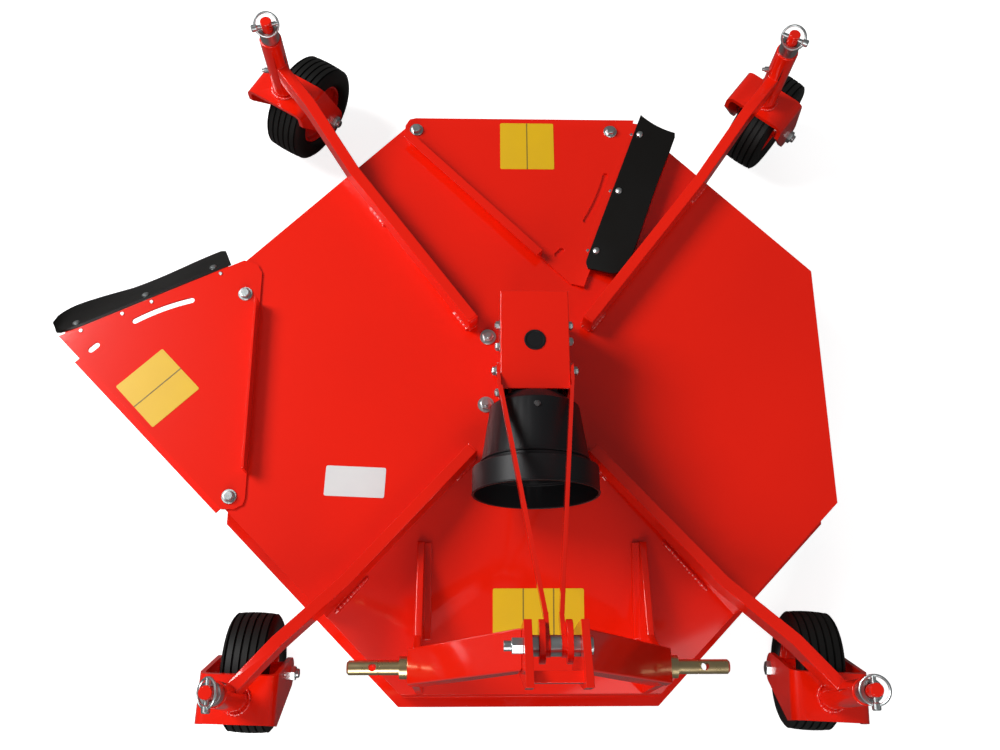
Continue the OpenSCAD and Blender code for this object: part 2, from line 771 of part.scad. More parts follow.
// Side deflector: out to the left. Rear deflector: turned over onto the deck
module at_side(z) translate([deck_x - deck_in + bolt_in, 0, z]) rotate([0, 0, 90]) children();
module at_rear(z) translate([rear_shift, deck_y + deck_in - bolt_in, z])
    mirror([0, 1, 0]) children();
module at_deflector_bolts() {
    at_side(0) at_flange_bolts() children();
    at_rear(0) at_flange_bolts() children();
}
module side_deflector() red() at_side(deck_z) deflector(SIDE, false);
module side_flap() black() at_side(deck_z) flap(SIDE, false);
module rear_deflector() red() at_rear(deck_z) deflector(REAR, true);
module rear_flap() black() at_rear(deck_z) flap(REAR, true);
module deflector_bolts() {
    head_r = 9.5;
    head_h = 6.5;
    nut_h = 9;
    washer_r = 13;
    washer_t = 2.5;
    top = deck_z + defl_t;
    low = deck_z - sheet - nut_h;
    zinc() at_deflector_bolts() {
        translate([0, 0, low - 1]) cylinder(h = top - low + 2, r = m10);
        translate([0, 0, top]) cylinder(h = washer_t, r = washer_r);
        translate([0, 0, top + washer_t]) cylinder(h = head_h, r = head_r, $fn = 6);
        translate([0, 0, low]) cylinder(h = nut_h, r = head_r, $fn = 6);
    }
}

// Rotor: hub, carrier bar and swinging blades
module rotor_hub() {
    foot_z = hub_low + bar_t;
    color([0.30, 0.31, 0.33]) {
        translate([0, 0, foot_z]) cylinder(h = 14, r = 60);
        translate([0, 0, foot_z + 14]) cylinder(h = 60, r1 = 60, r2 = 34);
        translate([0, 0, foot_z]) cylinder(h = deck_z + 50 - foot_z, r = hub_neck);
    }
}
module blade_bar() {
    bar_w = 80;
    red() translate([0, 0, hub_low]) difference() {
        linear_extrude(bar_t) {
            square([2 * bolt_circle + 60, bar_w], center = true);
            circle(r = 90);
        }
        for (side = [-1, 1]) translate([side * bolt_circle, 0, -1])
            cylinder(h = bar_t + 2, r = blade_bolt_r + seat);
    }
}
module blades() {
    blade_w = 50;
    color([0.30, 0.31, 0.33]) for (turn = [0, 180]) rotate([0, 0, turn])
        translate([bolt_circle, 0, hub_low]) {
            translate([0, 0, -blade_t]) linear_extrude(blade_t) {
                translate([0, -blade_w / 2]) square([blade_l - 4, blade_w]);
                circle(r = blade_w / 2);
            }
            translate([0, 0, -blade_t]) cylinder(h = bar_t + blade_t + 10, r = blade_bolt_r);
            translate([0, 0, bar_t]) cylinder(h = 10, r = 14, $fn = 6);
        }
}

placed() deck();
placed() arm(CASTERS[0]);  // arm_fl
placed() arm(CASTERS[1]);  // arm_fr
placed() arm(CASTERS[2]);  // arm_rl
placed() arm(CASTERS[3]);  // arm_rr
placed() hitch_arms();
placed() hitch_gussets();
placed() mast_ears();
placed() hitch_pin(-1);  // hitch_pin_left
placed() hitch_pin(1);  // hitch_pin_right
placed() top_bolt();
placed() link_lugs();
placed() tie_straps();
placed() gearbox();
placed() gearbox_cover();
placed() shaft_guard();
placed() drive_shaft();
placed() side_deflector();
placed() side_flap();
placed() rear_deflector();
placed() rear_flap();
placed() deflector_bolts();
placed() rotor_hub();
placed() blade_bar();
placed() blades();
for (c = CASTERS) {
    placed() fork(c);
    placed() lock(c);
    placed() axle(c);
    placed() rim(c);
    placed() tyre(c);
}
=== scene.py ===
import bpy
import bmesh
import json
import math
from mathutils import Matrix, Vector


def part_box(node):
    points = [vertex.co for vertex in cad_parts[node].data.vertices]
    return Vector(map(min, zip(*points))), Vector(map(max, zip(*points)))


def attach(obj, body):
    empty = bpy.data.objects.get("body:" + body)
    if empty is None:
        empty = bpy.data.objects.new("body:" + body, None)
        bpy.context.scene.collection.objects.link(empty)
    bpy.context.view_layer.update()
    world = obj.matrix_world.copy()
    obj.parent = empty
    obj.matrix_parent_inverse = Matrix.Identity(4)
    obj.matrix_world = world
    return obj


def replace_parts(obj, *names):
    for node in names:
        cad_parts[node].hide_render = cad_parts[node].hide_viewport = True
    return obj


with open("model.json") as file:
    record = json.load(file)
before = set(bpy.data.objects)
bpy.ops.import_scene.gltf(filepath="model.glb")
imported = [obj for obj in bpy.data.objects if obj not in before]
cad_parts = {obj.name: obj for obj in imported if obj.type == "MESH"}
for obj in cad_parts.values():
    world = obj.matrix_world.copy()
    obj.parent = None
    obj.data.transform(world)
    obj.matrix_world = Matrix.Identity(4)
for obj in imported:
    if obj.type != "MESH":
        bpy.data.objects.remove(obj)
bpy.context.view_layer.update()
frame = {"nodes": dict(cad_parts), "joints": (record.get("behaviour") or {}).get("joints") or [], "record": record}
print("frame loaded")


def jointNamed(name):
    return [joint for joint in frame["joints"] if joint["name"] == name][0]


def jointPlace(name):
    return Vector(jointNamed(name)["pos_m"])


corners = ["fl", "fr", "rl", "rr"]
rotorAt = jointPlace("rotor_turn")
rotorAt.z = 0.0
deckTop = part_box("deck")[1].z


# Camera: where the photograph was taken from, measured from the rotor
cameraSettings = {
    "place": (-0.1041, -0.6333, 2.0038),
    "yaw": 4.516,
    "down": 70.327,
    "roll": 4.466,
    "lens": 38.36,
}


def makeCamera(s):
    data = bpy.data.cameras.new("photoCamera")
    data.lens = s["lens"]
    data.sensor_width = 36.0
    data.clip_end = 50.0
    camera = bpy.data.objects.new("photoCamera", data)
    bpy.context.collection.objects.link(camera)
    turn = Matrix.Rotation(math.radians(-s["yaw"]), 4, "Z")
    tip = Matrix.Rotation(math.radians(90 - s["down"]), 4, "X")
    roll = Matrix.Rotation(math.radians(s["roll"]), 4, "Z")
    at = Matrix.Translation(rotorAt + Vector(s["place"]))
    camera.matrix_world = at @ turn @ tip @ roll
    bpy.context.scene.camera = camera


makeCamera(cameraSettings)
print("camera placed")


# Shared effects, each a node group with named inputs and outputs
def newGroup(name, inputs, outputs):
    group = bpy.data.node_groups.new(name, "ShaderNodeTree")
    for label, kind, value in inputs:
        socket = group.interface.new_socket(label, in_out="INPUT", socket_type=kind)
        socket.default_value = value
    for label, kind in outputs:
        group.interface.new_socket(label, in_out="OUTPUT", socket_type=kind)
    start = group.nodes.new("NodeGroupInput")
    end = group.nodes.new("NodeGroupOutput")
    return group, start, end


def addNode(tree, kind, **values):
    node = tree.nodes.new(kind)
    for key, value in values.items():
        setattr(node, key, value)
    return node


def mathNode(tree, operation, a, b):
    node = addNode(tree, "ShaderNodeMath", operation=operation)
    for slot, value in enumerate([a, b]):
        if isinstance(value, (int, float)):
            node.inputs[slot].default_value = value
        else:
            tree.links.new(value, node.inputs[slot])
    return node.outputs[0]


def cloudyGroup():
    # Slow and fine colour drift over a surface
    group, start, end = newGroup(
        "cloudyFinish",
        [("Scale", "NodeSocketFloat", 4.0), ("Light", "NodeSocketColor", (1, 1, 1, 1)),
         ("Dark", "NodeSocketColor", (0, 0, 0, 1)), ("Amount", "NodeSocketFloat", 0.5)],
        [("Color", "NodeSocketColor"), ("Mask", "NodeSocketFloat")],
    )
    place = addNode(group, "ShaderNodeTexCoord")
    slow = addNode(group, "ShaderNodeTexNoise")
    slow.inputs["Detail"].default_value = 4.0
    slow.inputs["Roughness"].default_value = 0.55
    group.links.new(place.outputs["Object"], slow.inputs["Vector"])
    group.links.new(start.outputs["Scale"], slow.inputs["Scale"])
    mask = mathNode(group, "MULTIPLY", slow.outputs["Fac"], start.outputs["Amount"])
    mix = addNode(group, "ShaderNodeMix", data_type="RGBA")
    group.links.new(mask, mix.inputs["Factor"])
    group.links.new(start.outputs["Light"], mix.inputs["A"])
    group.links.new(start.outputs["Dark"], mix.inputs["B"])
    group.links.new(mix.outputs["Result"], end.inputs["Color"])
    group.links.new(slow.outputs["Fac"], end.inputs["Mask"])
    return group


def grainGroup():
    # Small bumps, as of powder coat, cast iron or moulded plastic
    group, start, end = newGroup(
        "fineGrain",
        [("Scale", "NodeSocketFloat", 600.0), ("Strength", "NodeSocketFloat", 0.1),
         ("Depth", "NodeSocketFloat", 0.0002)],
        [("Normal", "NodeSocketVector")],
    )
    place = addNode(group, "ShaderNodeTexCoord")
    noise = addNode(group, "ShaderNodeTexNoise")
    noise.inputs["Detail"].default_value = 2.0
    group.links.new(place.outputs["Object"], noise.inputs["Vector"])
    group.links.new(start.outputs["Scale"], noise.inputs["Scale"])
    bump = addNode(group, "ShaderNodeBump")
    group.links.new(start.outputs["Strength"], bump.inputs["Strength"])
    group.links.new(start.outputs["Depth"], bump.inputs["Distance"])
    group.links.new(noise.outputs["Fac"], bump.inputs["Height"])
    group.links.new(bump.outputs["Normal"], end.inputs["Normal"])
    return group


cloudy = cloudyGroup()
grain = grainGroup()


def placeGroup(tree, group, **values):
    node = addNode(tree, "ShaderNodeGroup")
    node.node_tree = group
    for key, value in values.items():
        node.inputs[key.capitalize()].default_value = value
    return node


def makeFinish(name, s):
    material = bpy.data.materials.new(name)
    material.use_nodes = True
    tree = material.node_tree
    shader = tree.nodes["Principled BSDF"]
    shader.inputs["Metallic"].default_value = s.get("metallic", 0.0)
    shader.inputs["IOR"].default_value = s.get("ior", 1.5)
    shader.inputs["Coat Weight"].default_value = s.get("coat", 0.0)
    shader.inputs["Coat Roughness"].default_value = s.get("coatRoughness", 0.1)
    tint = placeGroup(tree, cloudy, scale=s["cloud"], light=s["light"] + (1,),
                      dark=s["dark"] + (1,), amount=s.get("amount", 0.8))
    tree.links.new(tint.outputs["Color"], shader.inputs["Base Color"])
    rough = addNode(tree, "ShaderNodeMapRange")
    rough.inputs["To Min"].default_value = s["rough"][0]
    rough.inputs["To Max"].default_value = s["rough"][1]
    tree.links.new(tint.outputs["Mask"], rough.inputs["Value"])
    tree.links.new(rough.outputs["Result"], shader.inputs["Roughness"])
    bumps = placeGroup(tree, grain, scale=s["grain"], strength=s["bump"], depth=s["depth"])
    tree.links.new(bumps.outputs["Normal"], shader.inputs["Normal"])
    return material


finishes = {
    "red_paint": {"light": (0.84, 0.012, 0.001), "dark": (0.70, 0.007, 0.001), "cloud": 3.0,
                  "amount": 0.7, "rough": (0.24, 0.34), "grain": 420.0, "bump": 0.12,
                  "depth": 0.0003, "coat": 0.9, "coatRoughness": 0.08, "ior": 1.2},
    "weld_paint": {"light": (0.84, 0.02, 0.01), "dark": (0.70, 0.004, 0.001), "cloud": 30.0,
                   "rough": (0.12, 0.3), "grain": 260.0, "bump": 0.7, "depth": 0.0012,
                   "coat": 1.0, "coatRoughness": 0.03},
    "bright_zinc": {"light": (0.66, 0.70, 0.72), "dark": (0.42, 0.46, 0.44), "cloud": 60.0,
                    "metallic": 1.0, "rough": (0.22, 0.45), "grain": 900.0, "bump": 0.15,
                    "depth": 0.0002},
    "yellow_zinc": {"light": (0.78, 0.60, 0.28), "dark": (0.55, 0.44, 0.30), "cloud": 45.0,
                    "metallic": 1.0, "rough": (0.2, 0.4), "grain": 800.0, "bump": 0.1,
                    "depth": 0.0002},
    "dark_steel": {"light": (0.10, 0.10, 0.105), "dark": (0.05, 0.045, 0.04), "cloud": 20.0,
                   "metallic": 0.6, "rough": (0.45, 0.7), "grain": 500.0, "bump": 0.4,
                   "depth": 0.0006},
    "black_plastic": {"light": (0.009, 0.009, 0.010), "dark": (0.004, 0.004, 0.005),
                      "cloud": 8.0, "rough": (0.38, 0.5), "grain": 1200.0, "bump": 0.25,
                      "depth": 0.0003, "ior": 1.34},
    "flap_rubber": {"light": (0.006, 0.005, 0.004), "dark": (0.001, 0.001, 0.001),
                    "cloud": 14.0, "rough": (0.25, 0.42), "ior": 1.32, "grain": 700.0, "bump": 0.2,
                    "depth": 0.0004},
    "tyre": {"light": (0.009, 0.009, 0.008), "dark": (0.003, 0.003, 0.003), "cloud": 18.0,
             "rough": (0.45, 0.62), "ior": 1.36, "grain": 900.0, "bump": 0.25, "depth": 0.0004},
    "yellow_panel": {"light": (0.76, 0.46, 0.006), "dark": (0.68, 0.40, 0.006), "cloud": 20.0,
                     "rough": (0.35, 0.45), "grain": 900.0, "bump": 0.05, "depth": 0.0001},
    "white_plate": {"light": (0.75, 0.75, 0.74), "dark": (0.65, 0.65, 0.66), "cloud": 20.0,
                    "rough": (0.3, 0.4), "grain": 900.0, "bump": 0.05, "depth": 0.0001},
    "panel_line": {"light": (0.25, 0.17, 0.02), "dark": (0.18, 0.12, 0.02), "cloud": 20.0,
                   "rough": (0.4, 0.5), "grain": 900.0, "bump": 0.05, "depth": 0.0001},
}
materials = {name: makeFinish(name, s) for name, s in finishes.items()}
print("finishes made")


def dress(piece, finish):
    piece.data.materials.clear()
    piece.data.materials.append(materials[finish])


slotOf = {part["node"]: part["material_slot"] for part in frame["record"]["subparts"]}
for name, cadNode in frame["nodes"].items():
    dress(cadNode, slotOf[name])
print("nodes dressed")


bodyOf = {node: body for body, nodes in frame["record"]["behaviour"]["bodies"].items()
          for node in nodes}


# Tools for making pieces
def finishPiece(name, build, finish, body, sharp=35):
    # Makes a mesh into a piece that rides on a body
    mesh = bpy.data.meshes.new(name)
    build.to_mesh(mesh)
    build.free()
    for face in mesh.polygons:
        face.use_smooth = True
    mesh.set_sharp_from_angle(angle=math.radians(sharp))
    piece = bpy.data.objects.new(name, mesh)
    bpy.context.collection.objects.link(piece)
    dress(piece, finish)
    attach(piece, body)
    return piece


def mergedCopy(node):
    # A CAD node's mesh is loose triangles, so its copy is merged first
    build = bmesh.new()
    build.from_mesh(frame["nodes"][node].data)
    bmesh.ops.remove_doubles(build, verts=build.verts, dist=0.00001)
    bmesh.ops.dissolve_limit(build, angle_limit=math.radians(1.5), verts=build.verts,
                             edges=build.edges)
    return build


def softNode(node, width):
    # The node's own form with its edges rounded, as a press or a torch leaves them
    piece = finishPiece("soft_" + node, mergedCopy(node), slotOf[node], bodyOf[node])
    bevel = piece.modifiers.new("roundedEdges", "BEVEL")
    bevel.width = width
    bevel.segments = 2
    bevel.limit_method = "ANGLE"
    bevel.angle_limit = math.radians(28)
    bevel.harden_normals = True
    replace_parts(piece, node)


def addInto(build, other, matrix):
    bmesh.ops.transform(other, matrix=matrix, verts=other.verts)
    mesh = bpy.data.meshes.new("joined")
    other.to_mesh(mesh)
    other.free()
    build.from_mesh(mesh)
    bpy.data.meshes.remove(mesh)


def lathe(profile, steps=48):
    # A closed profile of (radius, height) turned about Z
    build = bmesh.new()
    ring = [build.verts.new((r, 0, z)) for r, z in profile]
    edges = [build.edges.new((ring[i - 1], ring[i])) for i in range(len(ring))]
    bmesh.ops.spin(build, geom=ring + edges, cent=(0, 0, 0), axis=(0, 0, 1),
                   angle=2 * math.pi, steps=steps, use_merge=True)
    bmesh.ops.remove_doubles(build, verts=build.verts, dist=0.000001)
    bmesh.ops.dissolve_degenerate(build, dist=0.000001, edges=build.edges)
    bmesh.ops.recalc_face_normals(build, faces=build.faces)
    return build


def disc(radius, height, chamfer, steps=32):
    # A short round bar with both its edges broken
    return lathe([(0, 0), (radius - chamfer, 0), (radius, chamfer), (radius, height - chamfer),
                  (radius - chamfer, height), (0, height)], steps)


def slab(points, thickness, bevel=0.0):
    # A flat plate on a plan of points, with its edges broken
    build = bmesh.new()
    base = build.faces.new([build.verts.new((x, y, 0)) for x, y in points])
    grown = bmesh.ops.extrude_face_region(build, geom=[base])["geom"]
    bmesh.ops.translate(build, vec=(0, 0, thickness),
                        verts=[v for v in grown if isinstance(v, bmesh.types.BMVert)])
    bmesh.ops.recalc_face_normals(build, faces=build.faces)
    if bevel:
        bmesh.ops.bevel(build, geom=build.edges[:], offset=bevel, segments=2,
                        affect="EDGES", profile=0.5, material=-1)
    return build


def ringPlaces(points, radiusAt):
    # Each ring of a wire: its place, Z along the wire, and its radius as the scale
    places = []
    last = len(points) - 1
    side = (points[1] - points[0]).orthogonal()
    for i, point in enumerate(points):
        ahead = (points[min(i + 1, last)] - points[max(i - 1, 0)]).normalized()
        side = (side - ahead * side.dot(ahead)).normalized()
        turn = Matrix((side.cross(ahead), side, ahead)).transposed()
        places.append(Matrix.LocRotScale(point, turn, Vector((1, 1, 1)) * radiusAt(i / last)))
    return places


def wire(points, radiusAt, sides):
    # A round wire along open points: a circle drawn out ring by ring, closed at both ends
    build = bmesh.new()
    places = ringPlaces(points, radiusAt)
    bmesh.ops.create_circle(build, cap_ends=True, segments=sides, radius=1.0, matrix=places[0])
    edges = build.edges[:]
    for here, there in zip(places, places[1:]):
        grown = bmesh.ops.extrude_edge_only(build, edges=edges)["geom"]
        verts = [part for part in grown if isinstance(part, bmesh.types.BMVert)]
        edges = [part for part in grown if isinstance(part, bmesh.types.BMEdge)
                 and all(v in verts for v in part.verts)]
        bmesh.ops.transform(build, matrix=there @ here.inverted(), verts=verts)
    bmesh.ops.edgeloop_fill(build, edges=edges)
    bmesh.ops.recalc_face_normals(build, faces=build.faces)
    return build


# What all bolts share; headEdge, land and threadEdge are shares of the radius
boltForm = {"washerEdge": 0.0004, "headEdge": 0.12, "land": 0.72, "landHeight": 0.0008,
            "landEdge": 0.0003, "threadEdge": 0.15, "sunk": 0.0002}


def hexBolt(s):
    # A bolt's head on its washer, seat at Z 0, head upwards
    form = boltForm
    build = bmesh.new()
    washerHeight = s.get("washerHeight", 0.0)
    if washerHeight:
        addInto(build, disc(s["washer"], washerHeight, form["washerEdge"]), Matrix())
    head = bmesh.new()
    bmesh.ops.create_cone(head, cap_ends=True, segments=6, radius1=s["head"],
                          radius2=s["head"], depth=s["height"])
    rims = [edge for edge in head.edges if all(v.co.z > 0 for v in edge.verts)]
    bmesh.ops.bevel(head, geom=rims, offset=s["head"] * form["headEdge"], segments=2,
                    affect="EDGES", profile=0.5, material=-1)
    addInto(build, head, Matrix.Translation((0, 0, washerHeight + s["height"] / 2)))
    # The round land on top of the head, and the thread's end where there is one
    top = Matrix.Translation((0, 0, washerHeight + s["height"] - form["sunk"]))
    addInto(build, disc(s["head"] * form["land"], form["landHeight"], form["landEdge"]), top)
    if s.get("thread"):
        addInto(build, disc(s["shank"], s["thread"], s["shank"] * form["threadEdge"]), top)
    return build


def at(x, y, z=0.0):
    # A place measured from the rotor's line on the ground
    return rotorAt + Vector((x, y, z))


def facing(place, direction, twist=0.0):
    # Matrix that puts a piece at a place with its own Z along a direction
    turn = Vector(direction).to_track_quat("Z", "Y").to_matrix().to_4x4()
    return Matrix.Translation(place) @ turn @ Matrix.Rotation(twist, 4, "Z")


upsideDown = Matrix.Rotation(math.pi, 4, "X")

# Sheet, plate and tube with their edges rounded
edgeWidths = {
    "deck": 0.0012, "hitch_arms": 0.003, "hitch_gussets": 0.0015, "mast_ears": 0.0015,
    "link_lugs": 0.001, "tie_straps": 0.0012, "gearbox_cover": 0.004,
    "side_deflector": 0.0009, "rear_deflector": 0.0009, "blade_bar": 0.0015,
    "blades": 0.0008, "gearbox": 0.003, "rotor_hub": 0.002,
    "hitch_pin_left": 0.001, "hitch_pin_right": 0.001, "shaft_guard": 0.0008,
    "drive_shaft": 0.0008, "top_bolt": 0.0006,
}
for corner in corners:
    edgeWidths["arm_" + corner] = 0.002
    edgeWidths["fork_" + corner] = 0.0012
    edgeWidths["rim_" + corner] = 0.0012
for name, width in edgeWidths.items():
    softNode(name, width)
print("edges rounded")


# Tyres: solid rubber with grooves round the tread
tyreSettings = {
    "bead": 0.062, "width": 0.078, "steps": 96,
    "grooves": 6, "groove": 0.0036, "deep": 0.004, "crown": 0.0028, "shoulder": 0.008,
    # The side's points: out from the bead, or down from the tread, and in from the side
    "beadWall": [(0.0, 0.008), (0.004, 0.002), (0.009, 0.0)],
    "treadWall": [(0.0105, 0.0003), (0.0062, 0.0025), (0.0038, 0.0045)],
}


def tyreProfile(s, radius):
    half = s["width"] / 2
    wall = [(s["bead"] + out, inset - half) for out, inset in s["beadWall"]]
    wall += [(radius - down, inset - half) for down, inset in s["treadWall"]]
    tread = []
    pitch = (s["width"] - 2 * s["shoulder"]) / (s["grooves"] - 1)
    for k in range(s["grooves"]):
        middle = s["shoulder"] + k * pitch - half
        fall = s["crown"] * (middle / half) ** 2
        for along, deep in ((-0.5, 0.0), (-0.3, 1.0), (0.3, 1.0), (0.5, 0.0)):
            tread.append((radius - fall - deep * s["deep"], middle + along * s["groove"]))
    return wall + tread + [(r, -z) for r, z in reversed(wall)]


def wheelPlace(corner):
    # The axle's middle, with Z along the axle
    return facing(jointPlace("roll_" + corner), jointNamed("roll_" + corner)["axis"])


def tyrePiece(corner, s):
    build = lathe(tyreProfile(s, jointPlace("roll_" + corner).z), s["steps"])
    bmesh.ops.transform(build, matrix=wheelPlace(corner), verts=build.verts)
    piece = finishPiece("tread_" + corner, build, "tyre", "wheel_" + corner, 40)
    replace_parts(piece, "tyre_" + corner)


for corner in corners:
    tyrePiece(corner, tyreSettings)
print("tyres made")


# Axle bolts: a nut and thread outside one cheek, a hex head outside the other
axleSettings = {"forkHalf": 0.0635, "shank": 0.0079, "head": 0.013, "height": 0.008,
                "thread": 0.006, "edge": 0.0005}


def axlePiece(corner, s):
    place = wheelPlace(corner)
    cheek = Matrix.Translation((0, 0, s["forkHalf"]))
    build = bmesh.new()
    shank = disc(s["shank"], 2 * s["forkHalf"], s["edge"])
    addInto(build, shank, place @ cheek.inverted())
    addInto(build, hexBolt(s), place @ cheek)
    addInto(build, hexBolt(dict(s, thread=0.0)), place @ upsideDown @ cheek)
    piece = finishPiece("axleBolt_" + corner, build, "bright_zinc", "caster_" + corner)
    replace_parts(piece, "axle_" + corner)


for corner in corners:
    axlePiece(corner, axleSettings)
print("axles made")


# Lynch pins: a spacer on the pivot tube, a pin through the swivel pin and its ring
lockSettings = {
    "spacer": 0.0172, "spacerIn": 0.0104, "spacerHeight": 0.026, "edge": 0.0008,
    "pin": 0.004, "pinFrom": -0.026, "pinLength": 0.048, "pinEdge": 0.001, "pinRise": 0.0107,
    "head": 0.0065, "headFrom": -0.028, "headLength": 0.011, "headEdge": 0.0015,
    "ring": 0.0208, "ringRise": 0.002, "wire": 0.0022, "ringSteps": 60, "wireSides": 10,
    # The pin's turn about the swivel, and the ring's tilt about the pin, in degrees
    "turn": {"fl": 90, "fr": 90, "rl": 17, "rr": 154},
    "tilt": {"fl": -41, "fr": -20, "rl": 38, "rr": -34},
}


def spacerProfile(s):
    inner, outer, high, edge = s["spacerIn"], s["spacer"], s["spacerHeight"], s["edge"]
    return [(inner, edge), (inner + edge, 0), (outer - edge, 0), (outer, edge),
            (outer, high - edge), (outer - edge, high), (inner + edge, high),
            (inner, high - edge)]


def circlePoints(radius, steps, z=0.0):
    angles = [2 * math.pi * k / steps for k in range(steps + 1)]
    return [Vector((radius * math.cos(a), radius * math.sin(a), z)) for a in angles]


def lockPiece(corner, s):
    foot = jointPlace("swivel_" + corner)
    foot.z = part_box("lock_" + corner)[0].z
    build = bmesh.new()
    addInto(build, lathe(spacerProfile(s)), Matrix.Translation(foot))
    turn = Matrix.Rotation(math.radians(s["turn"][corner]), 4, "Z")
    cross = Matrix.Translation(foot + Vector((0, 0, s["spacerHeight"] + s["pinRise"]))) @ turn
    along = cross @ Matrix.Rotation(math.radians(90), 4, "Y")
    addInto(build, disc(s["pin"], s["pinLength"], s["pinEdge"]),
            along @ Matrix.Translation((0, 0, s["pinFrom"])))
    addInto(build, disc(s["head"], s["headLength"], s["headEdge"]),
            along @ Matrix.Translation((0, 0, s["headFrom"])))
    tilt = Matrix.Rotation(math.radians(s["tilt"][corner]), 4, "X")
    ringPlace = Matrix.Translation((0, 0, s["ringRise"])) @ cross @ tilt
    points = [ringPlace @ point for point in circlePoints(s["ring"], s["ringSteps"])]
    addInto(build, wire(points, lambda share: s["wire"], s["wireSides"]), Matrix())
    piece = finishPiece("lynch_" + corner, build, "bright_zinc", "caster_" + corner)
    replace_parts(piece, "lock_" + corner)


for corner in corners:
    lockPiece(corner, lockSettings)
print("lynch pins made")


# Bolts of the deflectors, the deck and the cover, placed from the rotor's line
boltSettings = {
    "deflector": {"head": 0.0098, "height": 0.0065, "washer": 0.0128, "washerHeight": 0.0025,
                  "sheet": 0.004, "shank": 0.005, "shankEdge": 0.0006, "past": 0.001,
                  "nut": {"head": 0.0095, "height": 0.009},
                  "places": [(-0.515, 0.1565), (-0.515, -0.2185), (-0.2125, 0.504),
                             (0.1625, 0.504)]},
    "deck": {"head": 0.0105, "height": 0.007, "washer": 0.0145, "washerHeight": 0.0025,
             "thread": 0.003, "shank": 0.006, "places": [(-0.075, 0.076), (-0.079, -0.052)]},
    # In the cover's sides: the last value is the side, left or right
    "cover": {"head": 0.0075, "height": 0.0055, "washer": 0.0095, "washerHeight": 0.0015,
              "thread": 0.002, "shank": 0.005,
              "places": [(-0.0571, 0.046, 0.345, -1), (-0.0571, 0.008, 0.345, -1),
                         (-0.0571, -0.058, 0.300, -1), (-0.0631, -0.038, 0.354, -1),
                         (0.0571, 0.046, 0.345, 1), (0.0571, 0.018, 0.345, 1),
                         (0.0631, -0.038, 0.354, 1)]},
}


def uprightBolts(s, height):
    build = bmesh.new()
    for k, (x, y) in enumerate(s["places"]):
        turn = Matrix.Rotation(0.4 + 1.1 * k, 4, "Z")  # No two stand alike
        addInto(build, hexBolt(s), Matrix.Translation(at(x, y, height)) @ turn)
    return build


def deflectorBoltsPiece(s):
    # Heads on the deflectors, nuts below the deck's sheet, shanks between and past them
    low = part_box("deflector_bolts")[0].z
    top = deckTop + s["sheet"]
    build = uprightBolts(s, top)
    for x, y in s["places"]:
        shank = disc(s["shank"], top - low + s["past"], s["shankEdge"])
        addInto(build, shank, Matrix.Translation(at(x, y, low)))
        under = Matrix.Translation(at(x, y, deckTop - s["sheet"]))
        addInto(build, hexBolt(s["nut"]), under @ upsideDown)
    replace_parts(finishPiece("deflectorBolts", build, "bright_zinc", "chassis"),
                "deflector_bolts")


def coverBoltsPiece(s):
    build = bmesh.new()
    for k, (x, y, z, side) in enumerate(s["places"]):
        addInto(build, hexBolt(s), facing(at(x, y, z), (side, 0, 0), 0.5 * k))
    finishPiece("coverBolts", build, "bright_zinc", "chassis")


deflectorBoltsPiece(boltSettings["deflector"])
finishPiece("deckBolts", uprightBolts(boltSettings["deck"], deckTop), "bright_zinc", "chassis")
coverBoltsPiece(boltSettings["cover"])
print("bolts made")


# Black plug in the cover's top
plugSettings = {"place": (0.0, 0.011), "radius": 0.0178, "neck": 0.015, "sunk": 0.006,
                "rise": 0.0022, "edge": 0.001, "rim": 0.003, "slant": 0.001, "dish": 0.0012}


def plugPiece(s):
    r, rise, floor = s["radius"], s["rise"], s["rise"] - s["dish"]
    profile = [(0, -s["sunk"]), (s["neck"], -s["sunk"]), (s["neck"], 0), (r, 0), (r, rise / 2),
               (r - s["edge"], rise), (r - s["rim"], rise), (r - s["rim"] - s["slant"], floor),
               (0, floor)]
    build = lathe(profile)
    place = at(*s["place"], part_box("gearbox_cover")[1].z)
    bmesh.ops.translate(build, vec=place, verts=build.verts)
    finishPiece("coverPlug", build, "black_plastic", "chassis")


plugPiece(plugSettings)
print("plug made")


# Shaft guard: a double seam behind its ring, a bead round its mouth and a screw on top
guardSettings = {
    "height": 0.326, "beadSides": 10, "steps": 96,
    # Radius, distance along the shaft and thickness: two seams, then the mouth
    "beads": [(0.0886, 0.1870, 0.0020), (0.0896, 0.1940, 0.0020), (0.1022, 0.2390, 0.0018)],
    "screwPlace": (0.0, -0.110, 0.4018), "screwLean": (0, -0.45, 1),
    "screw": {"head": 0.0042, "height": 0.003, "washer": 0.0055, "washerHeight": 0.001},
}


def guardTrimPiece(s):
    axle = facing(at(0, 0, s["height"]), (0, -1, 0))
    build = bmesh.new()
    for radius, along, size in s["beads"]:
        bead = circlePoints(size, s["beadSides"])[:-1]
        profile = [(radius + point.x, along + point.y) for point in bead]
        addInto(build, lathe(profile, s["steps"]), axle)
    finishPiece("guardTrim", build, "black_plastic", "chassis", 60)


def guardScrewPiece(s):
    build = hexBolt(s["screw"])
    bmesh.ops.transform(build, matrix=facing(at(*s["screwPlace"]), s["screwLean"]),
                        verts=build.verts)
    finishPiece("guardScrew", build, "dark_steel", "chassis")


guardTrimPiece(guardSettings)
guardScrewPiece(guardSettings)
print("guard trimmed")


# The panel that slopes down to the deck's front, between the front arms
frontPanel = {"crease": 0.150, "half": 0.104, "spread": 0.92,
              "slope": math.atan2(0.070, 0.388)}


def deckHeight(x, y):
    # The deck's top at a place: level, or falling on the front panel
    ahead = -y - frontPanel["crease"]
    if ahead > 0 and abs(x) < frontPanel["half"] + ahead * frontPanel["spread"]:
        return deckTop - ahead * math.tan(frontPanel["slope"])
    return deckTop


